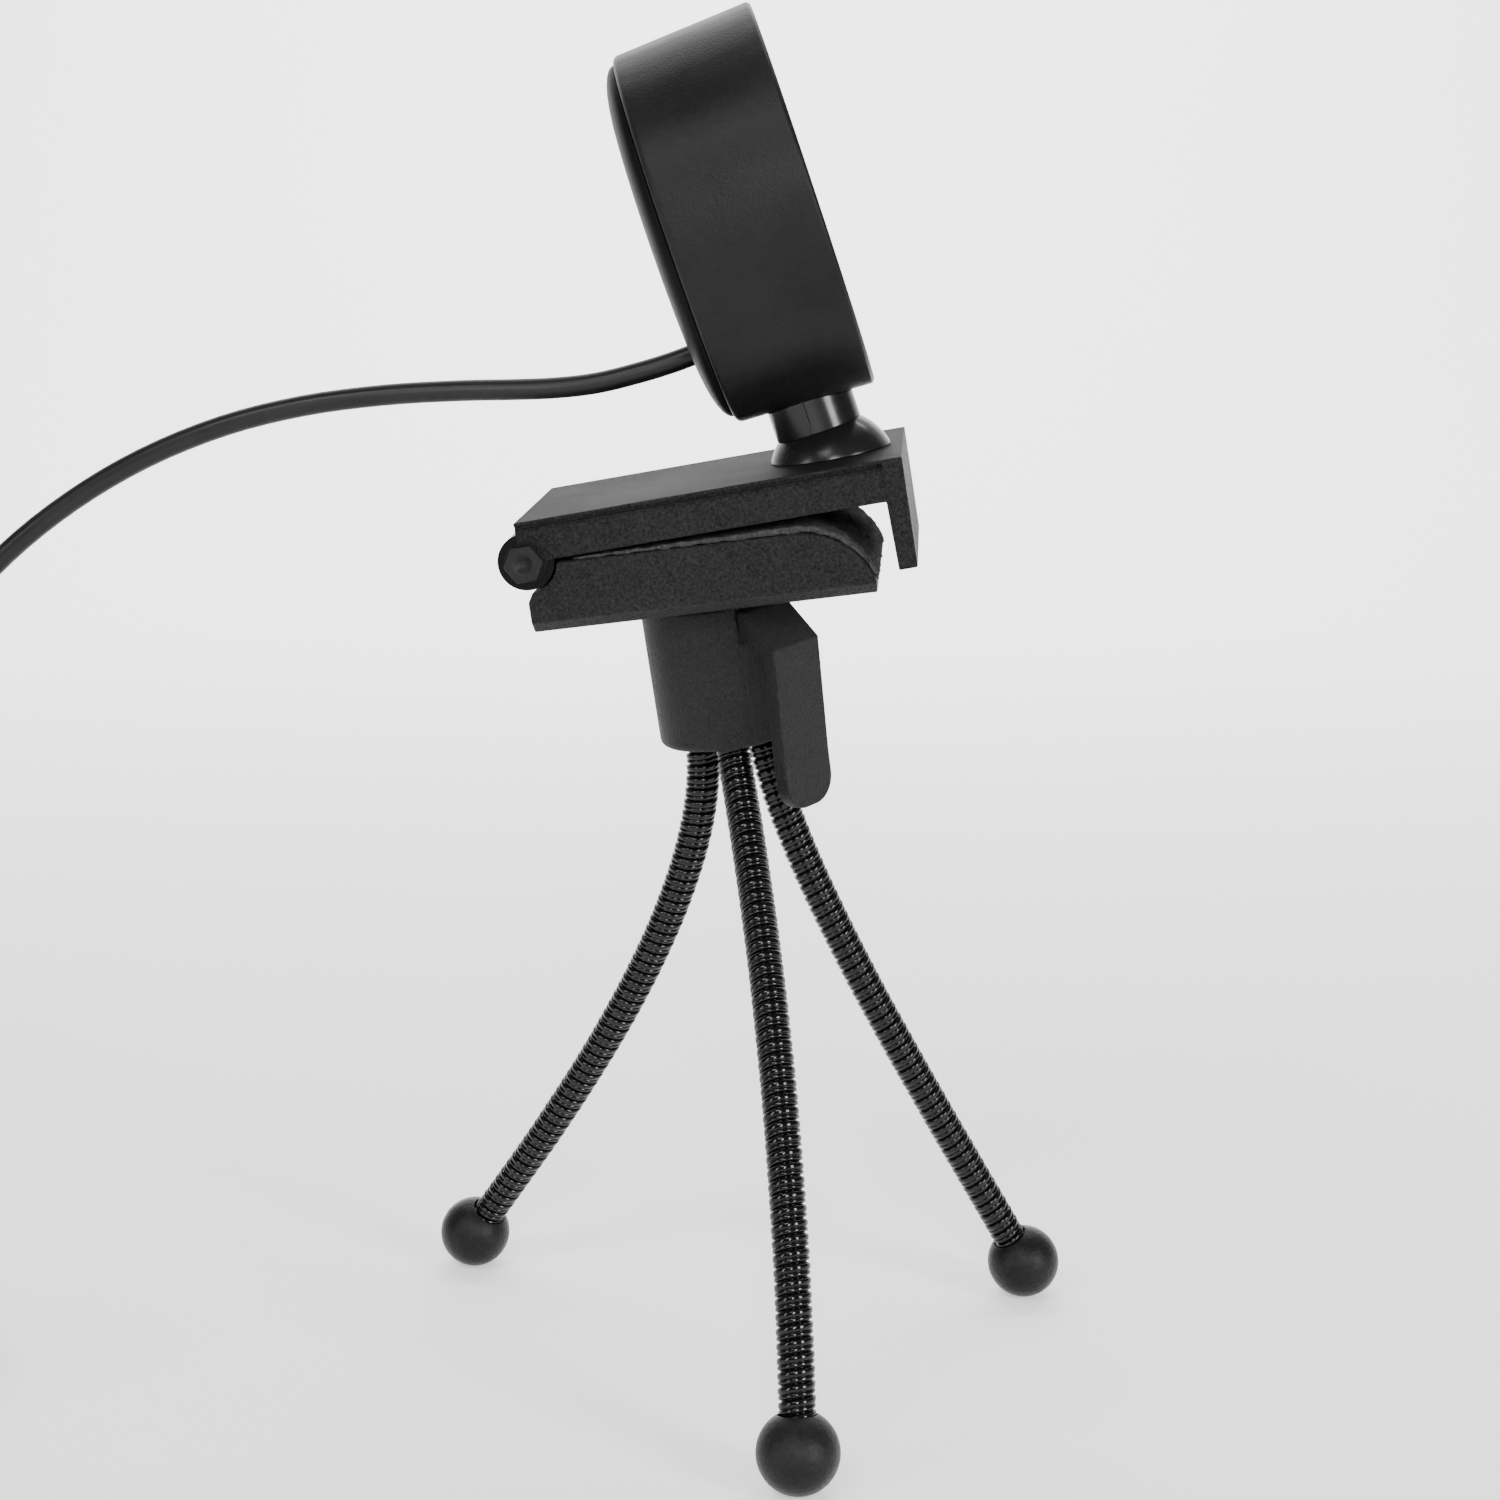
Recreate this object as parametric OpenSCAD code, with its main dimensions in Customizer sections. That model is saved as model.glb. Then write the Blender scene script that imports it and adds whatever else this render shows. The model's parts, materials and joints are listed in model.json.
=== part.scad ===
// Webcam on a flexible mini tripod: a round camera head on a screen clip, which is
// screwed to a hub with three gooseneck legs.
// The origin is on the standing surface, in the middle of the three feet.
// +Z is up and +X is the way the lens looks.

/* [Camera head] */
// Outer radius of the housing at its front rim
head_r = 31; // [30:0.5:32]
// Radius of the housing at its rear rim
head_rear_r = 30; // [29.6:0.1:30.2]
// Depth of the side wall from the front rim to the rear rim
head_depth = 23; // [22.6:0.1:24]
// How far the back cover bulges behind the rear rim
back_bulge = 3; // [2.8:0.1:3.4]
// Radius of the flat disc in the middle of the back cover
back_flat_r = 19.4; // [19:0.1:20]
// Wall thickness of the housing
wall = 1.8; // [1.6:0.1:2]
// Radius of the ring groove in the back cover
groove_r = 20.3; // [20:0.1:21]
// Radius of the neck under the head
neck_r = 7.05; // [6.8:0.05:7.2]
// Height of the lens axis above the tilt axis
lens_height = 43.1; // [42.8:0.1:43.6]

/* [Swivel] */
// Radius of the ball surface of the dome
dome_r = 10.5; // [10.4:0.1:10.6]
// Depth of the tilt axis below the top of the clip bar
dome_depth = 3.5; // [3.4:0.1:3.6]
// Turn of the head on the clip as it stands
pan = 3.9; // [0:0.1:6]
// Backward tilt of the head on the clip as it stands
tilt = 8.7; // [0:0.1:12]

/* [Clip] */
// Width of the clip
clip_w = 40; // [38:0.5:42]
// Length of the lower jaw
jaw_l = 54.7; // [54.4:0.1:55]
// Thickness of the clip bar
bar_t = 6.55; // [6.4:0.05:6.7]
// Length of the clip bar from the hinge to its lip
bar_l = 60.85; // [60:0.05:62]
// Depth of the lip below the hinge axis
lip_drop = 11; // [9:0.5:13]
// Opening angle of the clip as it stands
clip_angle = 2.8; // [2.6:0.1:4]
// Radius of the hinge barrels
barrel_r = 4.5; // [4.3:0.1:4.6]
// Diameter of the hinge bolt
bolt_d = 3; // [2.8:0.1:3]

/* [Tripod] */
// Radius of the hub at its top
hub_r = 12.2; // [12:0.1:12.3]
// Height of the hub
hub_h = 23.2; // [23:0.1:23.2]
// Diameter of the gooseneck legs
leg_d = 5.7; // [5.4:0.1:5.8]
// Diameter of the ball feet
foot_d = 12.7; // [12:0.1:13]
// Compass direction of the locking lever around the hub
lever_turn = -37.6; // [-42:0.1:-30]
// Width of the locking lever
lever_w = 11.3; // [10:0.1:11.5]

/* [Cord] */
// Diameter of the cord
cord_d = 3.5; // [3.2:0.1:3.6]

/* [Hidden] */
$fn = 64;

shell_black = "#26272a";
satin_black = "#1c1d20";
rubber_black = "#17181a";
steel = "#a9adb3";

// The hub leans a little to the left and towards the front, as the bent legs hold it.
hub_at = [-2, 15.3, 104.3];
hub_lean = [5.58, -7.15, -4.84];
hub_bottom_r = hub_r - 0.3;
hub_edge = 1.2;
hub_flat = 10.3;
leg_ring = 6;
leg_socket = 14;
journal_d = 4;
retainer_z = 12;
retainer_r = 2.5;

// The screw's flange lies on the hub, and carries the jaw on a rubber washer.
flange_r = 7;
flange_t = 0.7;
washer_top = 24.37;

// The lever turns on two stub pins in the top of the hub, and hangs beside the hub's flat side.
pivot_at = [7.6, 20.4];
pivot_r = 2.4;
pivot_pin_d = 2.2;
pivot_pin_l = 1.6;
pivot_room = 0.4;
arm_t = 2.4;
arm_out = 17;
arm_tip_out = 16.1;
arm_bend_z = 16.3;
arm_roof_r = 12.1;
arm_tip_z = -11;
arm_tip_r = 4.5;
tripod_d = 6.3;

// The jaw stands on the hub, and the clip bar turns on the hinge at the jaw's rear end.
jaw_z = 24.4;
jaw_top = 35.3;
jaw_back = -26.9;
nose_r = 12.4;
nose_at = [16.1, 22.9];
nose_low = 17;
jaw_chamfer = 1.8;
hinge_at = [-26.4, 35.9];
knuckle_half = 13.15;
ear_from = 13.55;
hinge_gap = 0.4;
pad_t = 1.3;
pad_end_t = 0.6;
pad_from = -19;
nut_af = 11.1;
nut_z = 27.6;
nut_h = 5.2;
bar_top = 6.4;
bar_back = -0.7;
bar_under = bar_top - bar_t;
lip_t = 3;
hex_af = 5.5;
hex_t = 2;

// The head tilts on a pin in the middle of the dome's ball surface.
swivel_x = 49;
swivel_z = bar_top - dome_depth;
ring_z = 0.4 - swivel_z;
boss_r = 6;
pin_d = 1.6;
tongue_w = 4;
tongue_half = 2.2;
tongue_r = 1.7;
slot_half = 4.9;

front_x = 10.9;
front_edge = 0.5;
rear_edge = 1.1;
rim_x = front_x - head_depth;
back_x = rim_x - back_bulge;
cord_drop = 17.5;
ledge_x = front_x - 3.6;
plate_x = front_x - 2.1;
wall_slope = (head_r - head_rear_r) / (head_depth - front_edge - rear_edge);
board_x = -3.4;
board_t = 1.6;
post_ring = 23;
spigot_r = 4.5;
spigot_top = 14.8;

// Where the legs meet the ground, and the two points that shape each leg's curve.
foot_r = foot_d / 2;
foot_left_at = [-50.1, 47.6, foot_r];
foot_right_at = [50.1, 32.1, foot_r];
foot_front_at = [8.1, -47.6, foot_r];
leg_left = [155, 30, [-38, 40.5, 25], foot_left_at];
leg_right = [35, 24, [34.5, 27.6, 35], foot_right_at];
leg_front = [-85, 12, [7.2, -32, 64], foot_front_at];
leg_joint = 0.26;
joint_gap = 0.35;

// ---- vectors and frames ----

function turn_x(a, p) = [p.x, p.y * cos(a) - p.z * sin(a), p.y * sin(a) + p.z * cos(a)];
function turn_y(a, p) = [p.x * cos(a) + p.z * sin(a), p.y, -p.x * sin(a) + p.z * cos(a)];
function turn_z(a, p) = [p.x * cos(a) - p.y * sin(a), p.x * sin(a) + p.y * cos(a), p.z];
function lean(p) = turn_z(hub_lean.z, turn_y(hub_lean.y, turn_x(hub_lean.x, p)));
function unit(v) = v / norm(v);
function curve(q, t) =
  pow(1 - t, 3) * q[0] + 3 * pow(1 - t, 2) * t * q[1] + 3 * (1 - t) * t * t * q[2] + pow(t, 3) * q[3];
function slope(q, t) =
  unit(pow(1 - t, 2) * (q[1] - q[0]) + 2 * (1 - t) * t * (q[2] - q[1]) + t * t * (q[3] - q[2]));

module in_hub() {
  translate(hub_at) rotate(hub_lean) children();
}

module in_clip() {
  in_hub() translate([hinge_at.x, 0, hinge_at.y]) rotate([0, -clip_angle, 0]) children();
}

module in_swivel() {
  in_clip() translate([swivel_x, 0, swivel_z]) rotate([0, 0, pan]) children();
}

module in_head() {
  in_swivel() rotate([0, -tilt, 0]) children();
}

// Turns a shape that is drawn round +Z so that it lies round the lens axis.
module on_lens_axis() {
  in_head() translate([0, 0, lens_height]) rotate([0, 90, 0]) children();
}

// A cylinder along the hinge line from one side to the other.
module across(x, z, d, from, to) {
  translate([x, from, z]) rotate([-90, 0, 0]) cylinder(h = to - from, d = d);
}

// A profile drawn in X and Z and given a width along Y.
module wide(w) {
  translate([0, w / 2, 0]) rotate([90, 0, 0]) linear_extrude(w) children();
}

module tube(outer, inner, low, high) {
  translate([0, 0, low]) difference() {
    cylinder(h = high - low, r = outer);
    translate([0, 0, -1]) cylinder(h = high - low + 2, r = inner);
  }
}

// A round solid swept along points, with a radius at each point.
module sweep(points, radii, sides) {
  last = len(points) - 1;
  along = [for (i = [0:last]) unit(points[min(i + 1, last)] - points[max(i - 1, 0)])];
  start = abs(along[0].y) < 0.8 ? [0, 1, 0] : [1, 0, 0];
  rings = [
    for (i = [0:last])
      let (
        u = unit(cross(along[i], start)),
        v = cross(along[i], u)
      )
      for (k = [0:sides - 1]) points[i] + radii[i] * (u * cos(360 * k / sides) + v * sin(360 * k / sides))
  ];
  walls = [
    for (i = [0:last - 1])
      for (k = [0:sides - 1])
        let (n = (k + 1) % sides)
        each [
          [i * sides + k, i * sides + n, (i + 1) * sides + n],
          [i * sides + k, (i + 1) * sides + n, (i + 1) * sides + k]
        ]
  ];
  low_cap = [[for (k = [sides - 1:-1:0]) k]];
  high_cap = [[for (k = [0:sides - 1]) last * sides + k]];
  polyhedron(rings, concat(walls, low_cap, high_cap), convexity = 6);
}

// ---- legs ----

function leg_root(leg) = [leg_ring * cos(leg[0]), leg_ring * sin(leg[0]), 0];
function leg_curve(leg) = [
  hub_at + lean(leg_root(leg)),
  hub_at + lean(leg_root(leg) - [0, 0, leg[1]]),
  leg[2],
  leg[3]
];

// The upper stretch of a leg, from its socket in the hub to the place where it bends.
module leg_top(leg) {
  q = leg_curve(leg);
  sides = 12;
  hinge = curve(q, leg_joint);
  end = hinge - slope(q, leg_joint) * (leg_d / 2 + joint_gap);
  steps = 8;
  socket = [for (z = [10, 5]) hub_at + lean(leg_root(leg) + [0, 0, z])];
  path = concat(socket, [for (i = [0:steps]) curve(q, leg_joint * 0.8 * i / steps)], [end]);
  color(satin_black) sweep(path, [for (p = path) leg_d / 2], sides);
}

// The lower stretch of a leg, with a round end where it bends and its tip in the foot.
module leg_low(leg) {
  q = leg_curve(leg);
  sides = 12;
  r = leg_d / 2;
  hinge = curve(q, leg_joint);
  way = slope(q, leg_joint);
  cap = [75, 50, 25];
  steps = 26;
  tip = 0.985;
  round_end = [for (a = cap) hinge - way * r * sin(a)];
  body = [for (i = [0:steps]) curve(q, leg_joint + (tip - leg_joint) * i / steps)];
  radii = concat([for (a = cap) r * cos(a)], [for (p = body) r]);
  color(satin_black) sweep(concat(round_end, body), radii, sides);
}

// A ball foot, drilled for the end of its leg.
module foot(leg) {
  q = leg_curve(leg);
  way = unit(q[2] - q[3]);
  color(rubber_black) translate(q[3]) rotate([0, acos(way.z), atan2(way.y, way.x)]) difference() {
    sphere(d = foot_d);
    cylinder(h = foot_d, d = leg_d + 0.1);
  }
}

module leg_top_left() { leg_top(leg_left); }
module leg_top_right() { leg_top(leg_right); }
module leg_top_front() { leg_top(leg_front); }
module gooseneck_left() { leg_low(leg_left); }
module gooseneck_right() { leg_low(leg_right); }
module gooseneck_front() { leg_low(leg_front); }
module foot_left() { foot(leg_left); }
module foot_right() { foot(leg_right); }
module foot_front() { foot(leg_front); }

// ---- hub, screw and locking lever ----

module hub() {
  edge_steps = 4;
  slot_floor = pivot_at.y - pivot_r - 0.6;
  slot_back = pivot_at.x - pivot_r - pivot_room;
  slot_w = lever_w + 0.4;
  pin_reach = lever_w / 2 + pivot_pin_l + 0.15;
  rounded = [
    for (i = [0:edge_steps])
      let (a = 90 * i / edge_steps)
      [hub_bottom_r - hub_edge + hub_edge * sin(a), hub_edge - hub_edge * cos(a)]
  ];
  color(shell_black) in_hub() difference() {
    rotate_extrude() polygon(concat([[0, 0]], rounded, [[hub_r, hub_h], [0, hub_h]]));
    rotate([0, 0, lever_turn]) {
      translate([hub_flat, -hub_r, -1]) cube([hub_r, 2 * hub_r, hub_h + 2]);
      translate([slot_back, -slot_w / 2, slot_floor]) cube([hub_r, slot_w, hub_h]);
      across(pivot_at.x, pivot_at.y, pivot_pin_d + 0.1, -pin_reach, pin_reach);
    }
    for (leg = [leg_left, leg_right, leg_front])
      translate(leg_root(leg) - [0, 0, 1]) cylinder(h = leg_socket + 1, d = leg_d + 0.1);
    translate([0, 0, retainer_z]) cylinder(h = hub_h, d = journal_d);
    translate([0, 0, -1]) cylinder(h = retainer_z + 3.5, r = retainer_r + 0.15);
  }
}

// The lever's side view, from its barrel round the bend and down to its tip.
lever_side = [
  [pivot_at.x, pivot_at.y + pivot_r], [11.4, 22.2], [arm_roof_r, 21.4], [arm_out, arm_bend_z],
  [arm_tip_out, -3], [arm_tip_out, arm_tip_z], [arm_tip_out - arm_t, arm_tip_z],
  [arm_tip_out - arm_t, -3], [arm_out - arm_t, arm_bend_z - 1], [10.4, 19.2], [9.2, 18.6],
  [pivot_at.x, 18]
];

module lever() {
  half = lever_w / 2;
  color(shell_black) in_hub() rotate([0, 0, lever_turn]) {
    across(pivot_at.x, pivot_at.y, 2 * pivot_r, -half, half);
    across(pivot_at.x, pivot_at.y, pivot_pin_d, -half - pivot_pin_l, half + pivot_pin_l);
    intersection() {
      wide(lever_w) polygon(lever_side);
      union() {
        translate([0, -half, arm_tip_z + arm_tip_r]) cube([20, lever_w, 40]);
        translate([0, arm_tip_r - half, arm_tip_z]) cube([20, lever_w - 2 * arm_tip_r, 10]);
        for (side = [-1, 1])
          translate([0, side * (half - arm_tip_r), arm_tip_z + arm_tip_r])
            rotate([0, 90, 0]) cylinder(h = 20, r = arm_tip_r);
      }
    }
  }
}

module tripod_screw() {
  shank_top = 31.5;
  chamfer = 0.7;
  journal_z = 14.6;
  color(steel) in_hub() difference() {
    union() {
      translate([0, 0, hub_h]) cylinder(h = flange_t, r = flange_r);
      translate([0, 0, hub_h]) cylinder(h = shank_top - hub_h, d = tripod_d);
      translate([0, 0, shank_top]) cylinder(h = chamfer, d1 = tripod_d, d2 = tripod_d - 2 * chamfer);
      translate([0, 0, journal_z]) cylinder(h = hub_h - journal_z, d = journal_d);
    }
    translate([0, 0, 14]) cylinder(h = 6, r = 1.2);
  }
}

module screw_retainer() {
  color(steel) in_hub() {
    translate([0, 0, retainer_z + 1.1]) cylinder(h = 1.3, r = retainer_r);
    translate([0, 0, retainer_z + 2.4]) cylinder(h = 4, r = 1.2);
  }
}

module grip_washer() {
  color(rubber_black) in_hub() tube(flange_r, 4, hub_h + flange_t, washer_top);
}

// ---- clip ----

module jaw() {
  arc = [for (a = [nose_low:7.3:90]) nose_at + nose_r * [cos(a), sin(a)]];
  side = concat(
    [[jaw_back, jaw_z], [jaw_back + jaw_l, jaw_z]],
    arc,
    [[nose_at.x, jaw_top], [-23.5, jaw_top], [jaw_back, 29.5]]
  );
  half = clip_w / 2;
  ends = [
    [-half, jaw_z + jaw_chamfer], [jaw_chamfer - half, jaw_z], [half - jaw_chamfer, jaw_z],
    [half, jaw_z + jaw_chamfer], [half, 50], [-half, 50]
  ];
  color(shell_black) in_hub() difference() {
    union() {
      intersection() {
        wide(clip_w) polygon(side);
        translate([-40, 0, 0]) rotate([90, 0, 90]) linear_extrude(90) polygon(ends);
      }
      across(hinge_at.x, hinge_at.y, 2 * barrel_r, -knuckle_half, knuckle_half);
      translate([hinge_at.x, -knuckle_half, 30]) cube([6, 2 * knuckle_half, 5.3]);
    }
    for (s = [-1, 1])
      translate([0, s * (knuckle_half + half) / 2 + s * 0.5, 0])
        across(
          hinge_at.x, hinge_at.y, 2 * (barrel_r + hinge_gap),
          -(half - knuckle_half) / 2 - 0.5, (half - knuckle_half) / 2 + 0.5
        );
    across(hinge_at.x, hinge_at.y, bolt_d + 0.1, -half, half);
    translate([0, 0, nut_z]) cylinder(h = 20, d = (nut_af + 0.2) / cos(30), $fn = 6);
    translate([0, 0, 20]) cylinder(h = 20, d = tripod_d + 0.3);
  }
}

// The foam pad covers the top of the jaw and thins out round its nose.
module jaw_pad() {
  angles = [for (i = [0:10]) nose_low + (90 - nose_low) * i / 10];
  outer = [
    for (a = angles)
      let (t = pad_end_t + (pad_t - pad_end_t) * (a - nose_low) / (90 - nose_low))
      nose_at + (nose_r + t) * [cos(a), sin(a)]
  ];
  inner = [for (i = [10:-1:0]) nose_at + (nose_r + 0.02) * [cos(angles[i]), sin(angles[i])]];
  color(rubber_black) in_hub() wide(clip_w - 0.6) polygon(concat(
    outer,
    [[pad_from, jaw_top + 0.55], [pad_from, jaw_top + 0.02]],
    inner
  ));
}

module tripod_nut() {
  color(steel) in_hub() difference() {
    translate([0, 0, nut_z]) cylinder(h = nut_h, d = nut_af / cos(30), $fn = 6);
    translate([0, 0, nut_z - 1]) cylinder(h = nut_h + 2, d = tripod_d + 0.12);
  }
}

module clip_bar() {
  half = clip_w / 2;
  side = [
    [bar_back, bar_top], [bar_back, bar_under], [bar_l - lip_t - 0.5, bar_under],
    [bar_l - lip_t - 0.3, -lip_drop], [bar_l - 0.35, -lip_drop], [bar_l, bar_top]
  ];
  color(shell_black) in_clip() difference() {
    union() {
      wide(clip_w) polygon(side);
      for (s = [-1, 1])
        translate([0, s * (ear_from + half) / 2, 0])
          across(0, 0, 2 * barrel_r, (ear_from - half) / 2, (half - ear_from) / 2);
    }
    across(0, 0, 2 * (barrel_r + hinge_gap), -ear_from, ear_from);
    translate([-8, -ear_from, -8]) cube([8, 2 * ear_from, 8]);
    across(0, 0, bolt_d + 0.1, -half - 1, half + 1);
    translate([swivel_x, 0, -2]) cylinder(h = 12, r = boss_r + 0.06);
    translate([swivel_x, 0, bar_under - 1]) cylinder(h = 2.25, r = 8);
  }
}

module hinge_bolt() {
  half = clip_w / 2;
  color(satin_black) in_clip() difference() {
    union() {
      across(0, 0, bolt_d, -half, half + hex_t + 0.6);
      translate([0, -half, 0]) rotate([90, 0, 0]) cylinder(h = hex_t, d = hex_af / cos(30), $fn = 6);
    }
    translate([0, -half - hex_t + 0.9, 0]) rotate([90, 0, 0]) cylinder(h = 1, d1 = 1, d2 = 3.4);
  }
}

module hinge_nut() {
  half = clip_w / 2;
  color(satin_black) in_clip() difference() {
    translate([0, half, 0]) rotate([-90, 0, 0]) cylinder(h = hex_t, d = hex_af / cos(30), $fn = 6);
    across(0, 0, bolt_d, half - 1, half + 5);
  }
}

module hinge_washers() {
  color(steel) in_clip() for (s = [-1, 1])
    translate([0, s * (knuckle_half + ear_from) / 2 - 0.15, 0]) rotate([-90, 0, 0])
      tube(4.1, bolt_d / 2 + 0.05, 0, 0.3);
}

// ---- swivel ----

module swivel_dome() {
  color(satin_black) in_swivel() difference() {
    union() {
      intersection() {
        sphere(r = dome_r);
        translate([0, 0, dome_depth + 0.05]) cylinder(h = dome_r, r = dome_r);
      }
      translate([0, 0, -swivel_z]) cylinder(h = 8, r = boss_r);
    }
    translate([-slot_half, -tongue_w / 2 - 0.15, -5]) cube([2 * slot_half, tongue_w + 0.3, 20]);
    across(0, 0, pin_d, -boss_r - 1, boss_r + 1);
    tube(boss_r + 1, 5.3, ring_z, ring_z + 0.6);
  }
}

module tilt_pin() {
  color(steel) in_swivel() across(0, 0, pin_d, -5.2, 5.2);
}

module swivel_ring() {
  color(steel) in_swivel() tube(7.3, 5.35, ring_z + 0.05, ring_z + 0.55);
}

// ---- camera head ----

module head_neck() {
  color(satin_black) in_head() difference() {
    union() {
      difference() {
        cylinder(h = 20, r = neck_r);
        sphere(r = dome_r + 0.12);
        translate([rim_x, 0, lens_height]) rotate([0, 90, 0]) cylinder(
          h = head_depth,
          r1 = head_rear_r + 0.02 - rear_edge * wall_slope,
          r2 = head_r + 0.02 + front_edge * wall_slope
        );
      }
      translate([0, 0, spigot_top - 3.6]) cylinder(h = 3.6, r = spigot_r);
      translate([-tongue_half, -tongue_w / 2, 0]) cube([2 * tongue_half, tongue_w, 11.7]);
      across(0, 0, 2 * tongue_r, -tongue_w / 2, tongue_w / 2);
    }
    across(0, 0, pin_d + 0.08, -tongue_w, tongue_w);
    translate([0, 0, spigot_top - 3.3]) cylinder(h = 10, r = 1.2);
  }
}

module neck_screw() {
  color(steel) in_head() {
    translate([0, 0, spigot_top - 3.2]) cylinder(h = 4, r = 1.2);
    translate([0, 0, spigot_top + 0.1]) cylinder(h = 0.8, r = 5.6);
    translate([0, 0, spigot_top + 0.9]) cylinder(h = 1.3, r = 2.3);
  }
}

module main_housing() {
  bore = head_r - wall;
  ledge = 27;
  rounded = [
    for (a = [0:30:90])
      [head_rear_r - rear_edge + rear_edge * sin(a), rim_x + rear_edge - rear_edge * cos(a)]
  ];
  color(shell_black) {
    difference() {
      on_lens_axis() rotate_extrude() polygon(concat(rounded, [
        [head_r, front_x - front_edge], [head_r - front_edge, front_x], [bore, front_x],
        [bore, plate_x], [ledge, plate_x], [ledge, ledge_x], [bore - 0.8, ledge_x],
        [head_rear_r - wall, rim_x]
      ]));
      in_head() translate([0, 0, spigot_top - 6]) cylinder(h = 8, r = spigot_r + 0.06);
      in_head() translate([0, 0, spigot_top + 0.1]) cylinder(h = 6, r = 7);
    }
    on_lens_axis() for (a = [60, 180, 300]) rotate([0, 0, a]) difference() {
      union() {
        translate([post_ring, 0, board_x]) cylinder(h = plate_x - board_x, r = 2.4);
        translate([post_ring, -1.5, ledge_x]) cube([bore - post_ring - 1, 3, plate_x - ledge_x]);
      }
      translate([post_ring, 0, board_x - 1]) cylinder(h = 7, r = 0.8);
    }
  }
}

// The back cover rounds over from its edge to a flat disc.
module back_cover() {
  thick = 1.6;
  inner_rise = 1.2;
  edge_r = head_rear_r - rear_edge - 0.1;
  skirt_out = head_rear_r - wall - 0.08;
  skirt_in = skirt_out - 1.4;
  outside = [
    for (a = [0:10:90])
      [back_flat_r + (edge_r - back_flat_r) * sin(a), rim_x - 0.1 - (back_bulge - 0.1) * cos(a)]
  ];
  inside = [
    for (a = [90:-15:0])
      [back_flat_r + (skirt_in - back_flat_r) * sin(a), back_x + thick + inner_rise * (1 - cos(a))]
  ];
  color(satin_black) on_lens_axis() difference() {
    rotate_extrude() polygon(concat(
      [[0, back_x]], outside,
      [[skirt_out, rim_x - 0.1], [skirt_out, rim_x + 3], [skirt_in, rim_x + 3]],
      inside,
      [[0, back_x + thick]]
    ));
    tube(groove_r + 0.35, groove_r - 0.35, back_x - 1, back_x + 0.75);
    translate([0, 0, back_x - 1]) cylinder(h = 5, r = 0.6);
    translate([cord_drop, 0, back_x - 1]) cylinder(h = 6, r = 2.6);
  }
}

module face_plate() {
  color("#101114") on_lens_axis() difference() {
    translate([0, 0, plate_x]) cylinder(h = 1.5, r = head_r - wall - 0.1);
    translate([0, 0, plate_x - 1]) cylinder(h = 4, r = 8.6);
    translate([-17, 0, plate_x - 1]) cylinder(h = 4, r = 1.3);
    for (s = [-1, 1]) translate([0, 21 * s, plate_x - 1]) cylinder(h = 4, r = 0.6);
  }
}

module lens_ring() {
  color(satin_black) on_lens_axis() difference() {
    union() {
      tube(8.55, 6.1, plate_x - 2, front_x - 0.2);
      tube(10.2, 8, plate_x - 1.4, plate_x - 0.05);
    }
    translate([0, 0, front_x - 1.4]) cylinder(h = 1.5, r1 = 6.1, r2 = 7.6);
  }
}

module lens_barrel() {
  color("#0c0d10") on_lens_axis() {
    tube(6, 4.5, -1, 8.6);
    translate([0, 0, -1]) tube(4.6, 2, 0, 2);
  }
}

module lens_glass() {
  cap_r = 7;
  rim = sqrt(cap_r * cap_r - 4.45 * 4.45);
  front = [for (a = [0:8:40]) [cap_r * sin(a), 7.9 - cap_r + cap_r * cos(a) ]];
  color([0.16, 0.18, 0.32]) on_lens_axis() rotate_extrude()
    polygon(concat([[0, 3.6]], front, [[4.45, 7.9 - cap_r + rim - 0.15], [4.45, 3.6]]));
}

module lens_holder() {
  color("#1b1b1d") on_lens_axis() difference() {
    translate([-7.5, -7.5, board_x]) cube([15, 15, 7.4]);
    translate([0, 0, board_x + 1]) cylinder(h = 10, r = 6.06);
    translate([-4, -4, board_x - 1]) cube([8, 8, 3]);
  }
}

module image_sensor() {
  color("#3b4350") on_lens_axis() translate([-3.2, -3.2, board_x]) cube([6.4, 6.4, 1]);
}

module circuit_board() {
  color("#1f4a2c") on_lens_axis() difference() {
    translate([0, 0, board_x - board_t]) cylinder(h = board_t, r = 26);
    for (a = [60, 180, 300]) rotate([0, 0, a]) translate([post_ring, 0, board_x - 5]) cylinder(h = 9, r = 1);
    translate([21.5, -8, board_x - 5]) cube([10, 16, 9]);
  }
}

module board_screws() {
  color(steel) on_lens_axis() for (a = [60, 180, 300]) rotate([0, 0, a]) translate([post_ring, 0, 0]) {
    translate([0, 0, board_x - board_t - 1]) cylinder(h = 1, r = 1.9);
    translate([0, 0, board_x - board_t]) cylinder(h = 6, r = 0.8);
  }
}

module microphones() {
  color(steel) on_lens_axis() for (s = [-1, 1])
    translate([-1.5, 21 * s - 1.5, board_x]) cube([3, 3, 1.1]);
}

module led_window() {
  color("#7f9fd6") on_lens_axis() {
    translate([-17, 0, plate_x - 1.5]) cylinder(h = 3, r = 1.25);
    translate([-17, 0, plate_x - 2.5]) cylinder(h = 1, r = 2);
  }
}

module board_plug() {
  color("#e8e4d8") on_lens_axis() translate([10, -4, board_x - board_t - 4.5]) cube([5, 8, 4.5]);
}

module cord_gland() {
  color(rubber_black) on_lens_axis() translate([cord_drop, 0, 0]) {
    translate([0, 0, back_x - 0.3]) cylinder(h = 3, r = 2.55);
    translate([0, 0, back_x + 2]) cylinder(h = 1.4, r = 3.6);
  }
}

// ---- cord ----

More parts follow.
